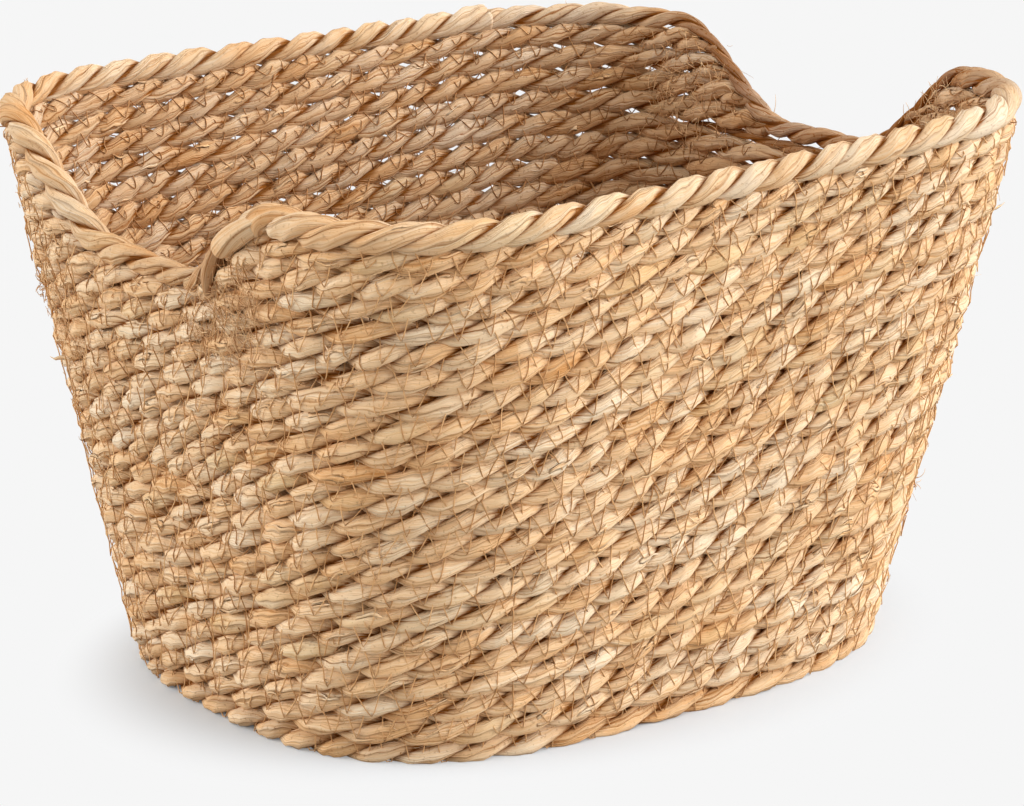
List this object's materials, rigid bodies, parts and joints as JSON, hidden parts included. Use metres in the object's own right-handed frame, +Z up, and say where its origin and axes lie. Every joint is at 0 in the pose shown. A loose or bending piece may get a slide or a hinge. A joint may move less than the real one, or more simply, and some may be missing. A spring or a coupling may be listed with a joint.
{
  "type": "coiled rope basket",
  "caption": "Oblong open basket of coiled, sewn rush rope, flaring to a rounded rectangular mouth, with a hand-hold dip in the rim at each end.",
  "frame": {"origin": "on the ground, under the middle of the basket", "axes": "+X along the basket towards one hand-hold end, +Y towards the back long side, +Z up out of the open mouth"},
  "size_m": [0.3991, 0.3588, 0.2689],
  "materials": {
    "base_rope": "twisted dry rush, matte",
    "wall_rope": "twisted dry rush, matte, streaked tan and cream",
    "side_row_rope": "twisted dry rush, matte, streaked tan and cream",
    "rim_rope": "twisted dry rush, smooth and a little paler"
  },
  "bodies": {
    "root": {"base_coil": "base_rope", "wall_coil": "wall_rope", "rim_rope": "rim_rope", "front_row_1": "side_row_rope", "front_row_2": "side_row_rope", "front_row_3": "side_row_rope", "front_row_4": "side_row_rope", "back_row_1": "side_row_rope", "back_row_2": "side_row_rope", "back_row_3": "side_row_rope", "back_row_4": "side_row_rope"}
  },
  "joints": []
}
